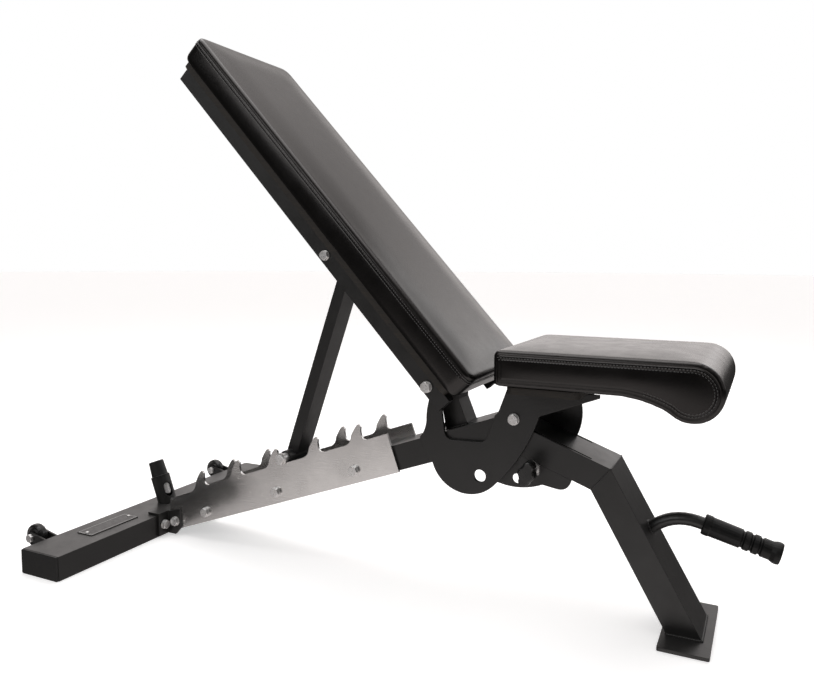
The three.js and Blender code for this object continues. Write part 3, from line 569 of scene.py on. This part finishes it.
def seat_outline(swell):
    """The seat's side outline, counter-clockwise from the lower rear corner: X and Z, metres."""
    points = []

    def arc(cx, cz, radius, start, end, count):
        for k in range(count + 1):
            angle = math.radians(start + (end - start) * k / count)
            points.append((cx + radius * math.cos(angle), cz + radius * math.sin(angle)))

    arc(SEAT_REAR + 7, SEAT_LOW + 7, 7, 180, 270, 4)
    for k in range(1, 12):
        points.append((SEAT_REAR + 7 + (SEAT_FLAT_END - SEAT_REAR - 7) * k / 12, SEAT_LOW))
    bend = (SEAT_FLAT_END, SEAT_LOW)
    pull = (SEAT_FLAT_END + 37, SEAT_LOW - 3)
    roll = (ROLL_X - ROLL_RADIUS * 0.72, ROLL_Z - ROLL_RADIUS * 0.7)
    for k in range(9):
        t = k / 8
        weights = ((1 - t) ** 2, 2 * t * (1 - t), t * t)
        points.append(tuple(
            weights[0] * bend[i] + weights[1] * pull[i] + weights[2] * roll[i] for i in (0, 1)
        ))
    arc(ROLL_X, ROLL_Z, ROLL_RADIUS, 232, 450, 30)
    for k in range(1, 16):
        points.append((ROLL_X + (SEAT_REAR + 9 - ROLL_X) * k / 16, SEAT_HIGH))
    arc(SEAT_REAR + 9, SEAT_HIGH - 9, 9, 90, 180, 4)
    outline = [Vector((x * MM + SEAT_SHIFT, z * MM)) for x, z in points]
    return offset_profile(outline, swell) if swell else outline


SEAT_EDGE = seat_outline(0)
SEAT_RUNS = [(a, b - a) for a, b in zip(SEAT_EDGE, SEAT_EDGE[1:] + SEAT_EDGE[:1])]


def distance_inside(point):
    """How far a point is from the seat's side outline, seen from the side."""
    flat = Vector((point.x, point.z))
    nearest = 1.0
    for a, run in SEAT_RUNS:
        share = max(0.0, min(1.0, (flat - a).dot(run) / run.length_squared))
        nearest = min(nearest, (flat - a - run * share).length)
    return nearest


def seat_pad():
    half = 149 * MM
    outline = seat_outline(1 * MM)
    data = bmesh.new()
    rounding = [(0.0, 4.5), (0.4, 2.8), (1.3, 1.3), (2.8, 0.4), (4.5, 0.0)]
    sections = [(-half + y * MM, inset * MM) for y, inset in rounding]
    sections += [(half - y * MM, inset * MM) for y, inset in reversed(rounding)]
    loops = []
    for y, inset in sections:
        ring = offset_profile(outline, inset)
        loops.append([data.verts.new((point.x, y, point.y)) for point in ring])
    count = len(outline)
    for first, second in zip(loops, loops[1:]):
        for k in range(count):
            data.faces.new((first[k], first[(k + 1) % count], second[(k + 1) % count], second[k]))
    data.faces.new(list(reversed(loops[0])))
    data.faces.new(loops[-1])
    bmesh.ops.recalc_face_normals(data, faces=data.faces)
    base = object_from(data, "seat_cushion_blank")
    low = SEAT_LOW * MM
    high = SEAT_HIGH * MM
    reach = SEAT_FLAT_END * MM + SEAT_SHIFT
    sewn_from = reach + 35 * MM

    def is_held(point):
        on_board = point.z < low + 4 * MM and point.x < reach
        from_side = half - abs(point.y)
        return on_board or (2 * MM < from_side < 8 * MM and distance_inside(point) < 5 * MM)

    pad = stuffed(base, "seat_cushion", is_held, 6 * MM)
    mark_seam(pad, lambda point: distance_inside(point) if abs(point.y) > half - 3 * MM else 0.0)
    rows = []
    for label, side in (("near", -1), ("far", 1)):
        for number, inset in enumerate(SEAT_STITCH_DEPTHS, 1):
            ring = offset_profile(SEAT_EDGE, inset)
            path = []
            for a, b in zip(ring, ring[1:]):
                if max(a.x, b.x) < sewn_from and max(a.y, b.y) < high - 30 * MM:
                    continue
                steps = max(1, round((b - a).length / (0.5 * MM)))
                for k in range(steps):
                    spot = a.lerp(b, k / steps)
                    path.append((Vector((spot.x, side * 0.18, spot.y)), Vector((0, -side, 0))))
            rows.append(stitches(f"seat_stitch_{label}_{number}", pad, path))
    return pad, rows


back_cushion, back_rows = backrest_pad()
for piece in (back_cushion, *back_rows):
    piece.matrix_world = back_place
    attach(piece, "backrest")
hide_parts("backrest_pad")

seat_cushion, seat_rows = seat_pad()
for piece in (seat_cushion, *seat_rows):
    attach(piece, "seat")
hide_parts("seat_pad")


# ---------- weld beads ----------

BEAD_PITCH = 1.1 * MM
RIPPLE_DEPTH = 0.16  # share of the bead's radius
RIPPLE_STEP = 1.7  # radians from one ring of the bead to the next


def weld(name, corners, radius):
    """A rippled bead of weld along a path of points."""
    path = []
    for a, b in zip(corners, corners[1:]):
        count = max(1, round((b - a).length / BEAD_PITCH))
        path += [a.lerp(b, k / count) for k in range(count)]
    path.append(corners[-1])
    sides = 8
    vertices = []
    for k, point in enumerate(path):
        along = (path[min(k + 1, len(path) - 1)] - path[max(k - 1, 0)]).normalized()
        side = along.orthogonal().normalized() if k == 0 else (side - along * side.dot(along)).normalized()
        other = along.cross(side)
        width = radius * (1 + RIPPLE_DEPTH * math.sin(k * RIPPLE_STEP))
        for corner in range(sides):
            angle = math.tau * corner / sides
            vertices.append(point + (side * math.cos(angle) + other * math.sin(angle)) * width)
    bead = smooth_object(name, vertices, tube_faces(0, len(path), sides), PAINT)
    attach(bead, "frame")


# The bend of the leg's underside, and points of the lower leg along and up from it.
BEND = Vector((979.2 * MM + SEAT_SHIFT, 0, 239 * MM))
HALF_TUBE = 50 * MM
TUBE_HEIGHT = 50 * MM


def on_lower_leg(along, up, y):
    return BEND + Vector((
        along * math.cos(LEG_ANGLE) + up * math.sin(LEG_ANGLE),
        y,
        up * math.cos(LEG_ANGLE) - along * math.sin(LEG_ANGLE),
    ))


mitre = -TUBE_HEIGHT * math.tan((LEG_ANGLE - SLOPE) / 2)
weld("weld_leg_mitre", [
    on_lower_leg(0, 0, -HALF_TUBE),
    on_lower_leg(mitre, TUBE_HEIGHT, -HALF_TUBE),
    on_lower_leg(mitre, TUBE_HEIGHT, HALF_TUBE),
    on_lower_leg(0, 0, HALF_TUBE),
], 1.1 * MM)

foot_top = 6.6 * MM
lowest = [(BEND.z - foot_top + up * math.cos(LEG_ANGLE)) / math.sin(LEG_ANGLE) for up in (0, TUBE_HEIGHT)]
foot_corners = [
    on_lower_leg(lowest[0], 0, -HALF_TUBE),
    on_lower_leg(lowest[1], TUBE_HEIGHT, -HALF_TUBE),
    on_lower_leg(lowest[1], TUBE_HEIGHT, HALF_TUBE),
    on_lower_leg(lowest[0], 0, HALF_TUBE),
]
weld("weld_foot", [*foot_corners, foot_corners[0]], 2.2 * MM)

HANDLE_ALONG = 108  # from the leg's bend to the handle's axis, millimetres
HANDLE_RING = (12, 11.6)  # half the length and half the width of the handle's foot
handle_ring = []
for k in range(37):
    angle = math.tau * k / 36
    along = HANDLE_ALONG + HANDLE_RING[0] * math.cos(angle)
    handle_ring.append(on_lower_leg(along * MM, TUBE_HEIGHT, HANDLE_RING[1] * math.sin(angle) * MM))
weld("weld_handle", handle_ring, 1.8 * MM)

BEAM_FOOT = 5  # height of the beam's underside at the crossbar, millimetres
POST_REAR, POST_FRONT, POST_HALF = 692, 736, 25
post_corners = []
for x, y in (
    (POST_REAR, -POST_HALF),
    (POST_FRONT, -POST_HALF),
    (POST_FRONT, POST_HALF),
    (POST_REAR, POST_HALF),
    (POST_REAR, -POST_HALF),
):
    height = (BEAM_FOOT + x * math.tan(SLOPE)) * MM + TUBE_HEIGHT / math.cos(SLOPE)
    post_corners.append(Vector((x * MM + SEAT_SHIFT, y * MM, height + 0.5 * MM)))
weld("weld_hinge_post", post_corners, 2 * MM)


# ---------- studio ----------

def white_floor():
    s = Shader("studio_floor")
    soft = s.noise(3, 3)
    colour = s.mixed(soft, grey(0.86), grey(0.9))
    return s.finish(
        colour,
        s.ranged(soft, 0.3, 0.7, 0.55, 0.65),
        Emission_Color=(1, 1, 1, 1),
        Emission_Strength=0.5,
    )


floor_mesh = bmesh.new()
bmesh.ops.create_circle(floor_mesh, cap_ends=True, radius=30, segments=96)
floor = object_from(floor_mesh, "studio_floor")
floor.data.materials.append(white_floor())
floor.location.z = -0.0005
floor.visible_glossy = False
floor.visible_diffuse = False


class Studio:
    """The world: white behind the bench and above it, dim in front of it, plain white to the camera."""

    def __init__(self):
        self.world = bpy.data.worlds.new("studio")
        self.world.use_nodes = True
        self.tree = self.world.node_tree
        self.tree.nodes.clear()
        coordinates = self.tree.nodes.new("ShaderNodeTexCoord")
        parts = self.tree.nodes.new("ShaderNodeSeparateXYZ")
        self.tree.links.new(coordinates.outputs["Generated"], parts.inputs[0])
        self.axes = parts.outputs

    def step(self, axis, start, end, low, high):
        node = self.tree.nodes.new("ShaderNodeMapRange")
        node.interpolation_type = "SMOOTHSTEP"
        self.tree.links.new(self.axes[axis], node.inputs["Value"])
        node.inputs["From Min"].default_value = start
        node.inputs["From Max"].default_value = end
        node.inputs["To Min"].default_value = low
        node.inputs["To Max"].default_value = high
        return node.outputs["Result"]

    def both(self, operation, a, b):
        node = self.tree.nodes.new("ShaderNodeMath")
        node.operation = operation
        self.tree.links.new(a, node.inputs[0])
        self.tree.links.new(b, node.inputs[1])
        return node.outputs["Value"]

    def background(self, strength, colour):
        node = self.tree.nodes.new("ShaderNodeBackground")
        node.inputs["Color"].default_value = (*colour, 1)
        if isinstance(strength, float):
            node.inputs["Strength"].default_value = strength
        else:
            self.tree.links.new(strength, node.inputs["Strength"])
        return node.outputs["Background"]

    def finish(self, strength):
        rays = self.tree.nodes.new("ShaderNodeLightPath")
        mix = self.tree.nodes.new("ShaderNodeMixShader")
        output = self.tree.nodes.new("ShaderNodeOutputWorld")
        self.tree.links.new(rays.outputs["Is Camera Ray"], mix.inputs["Fac"])
        self.tree.links.new(self.background(strength, (1.0, 0.945, 0.925)), mix.inputs[1])
        self.tree.links.new(self.background(1.0, (1, 1, 1)), mix.inputs[2])
        self.tree.links.new(mix.outputs["Shader"], output.inputs["Surface"])


scene = bpy.context.scene
studio = Studio()
behind = studio.step("Y", -0.05, 0.45, 0.0, 1.15)
behind = studio.both("MULTIPLY", behind, studio.step("Z", -0.03, 0.04, 0.0, 1.0))
behind = studio.both("MULTIPLY", behind, studio.step("X", 0.1, 0.35, 1.0, 0.25))
behind = studio.both("MULTIPLY", behind, studio.step("Z", 0.3, 0.5, 1.0, 0.62))
above = studio.step("Z", 0.5, 0.95, 0.04, 0.5)
below = studio.step("Z", -0.30, -0.17, 1.0, 0.0)
below = studio.both("MULTIPLY", below, studio.step("X", -0.71, -0.5, 0.06, 1.0))
below = studio.both("MULTIPLY", below, studio.step("Y", -0.4, 0.2, 1.0, 0.45))
studio.finish(studio.both("ADD", studio.both("ADD", behind, above), below))
scene.world = studio.world


def softbox(name, place, target, size, power):
    light = bpy.data.lights.new(name, "AREA")
    light.shape = "RECTANGLE"
    light.size, light.size_y = size
    light.energy = power
    lamp = bpy.data.objects.new(name, light)
    scene.collection.objects.link(lamp)
    lamp.location = place
    lamp.rotation_euler = (Vector(target) - Vector(place)).to_track_quat("-Z", "Y").to_euler()


softbox("overhead", (0.0, 0.2, 3.4), (0, 0, 0.4), (3.2, 2.6), 56)
softbox("behind", (1.8, 3.0, 2.3), (0, 0, 0.7), (2.6, 2.0), 19)
softbox("near_side", (-1.2, -3.2, 2.2), (0, 0, 0.5), (2.4, 1.8), 28)
softbox("front", (3.2, -0.6, 1.8), (0.3, 0, 0.4), (1.6, 2.2), 5)

scene.view_settings.view_transform = "Standard"

camera_data = bpy.data.cameras.new("camera")
camera_data.sensor_width = 36
camera_data.lens = 32.57
camera_data.shift_x = -0.0289
camera_data.shift_y = -0.0342
camera_data.clip_end = 100
camera = bpy.data.objects.new("camera", camera_data)
scene.collection.objects.link(camera)
YAW, PITCH, ROLL = math.radians(25.0), math.radians(5.1), math.radians(0.3)
forward = Vector((-math.sin(YAW) * math.cos(PITCH), math.cos(YAW) * math.cos(PITCH), -math.sin(PITCH)))
level_right = Vector((math.cos(YAW), math.sin(YAW), 0))
level_up = level_right.cross(forward)
right = level_right * math.cos(ROLL) + level_up * math.sin(ROLL)
up = level_up * math.cos(ROLL) - level_right * math.sin(ROLL)
turn = Matrix((right, up, -forward)).transposed().to_4x4()
CAMERA_FROM_HINGE, CAMERA_Y, CAMERA_Z = 0.5543, -1.3077, 0.6438
camera_x = joints["backrest_hinge"]["pos_m"][0] + CAMERA_FROM_HINGE
camera.matrix_world = Matrix.Translation(Vector((camera_x, CAMERA_Y, CAMERA_Z))) @ turn
scene.camera = camera

bpy.context.view_layer.update()
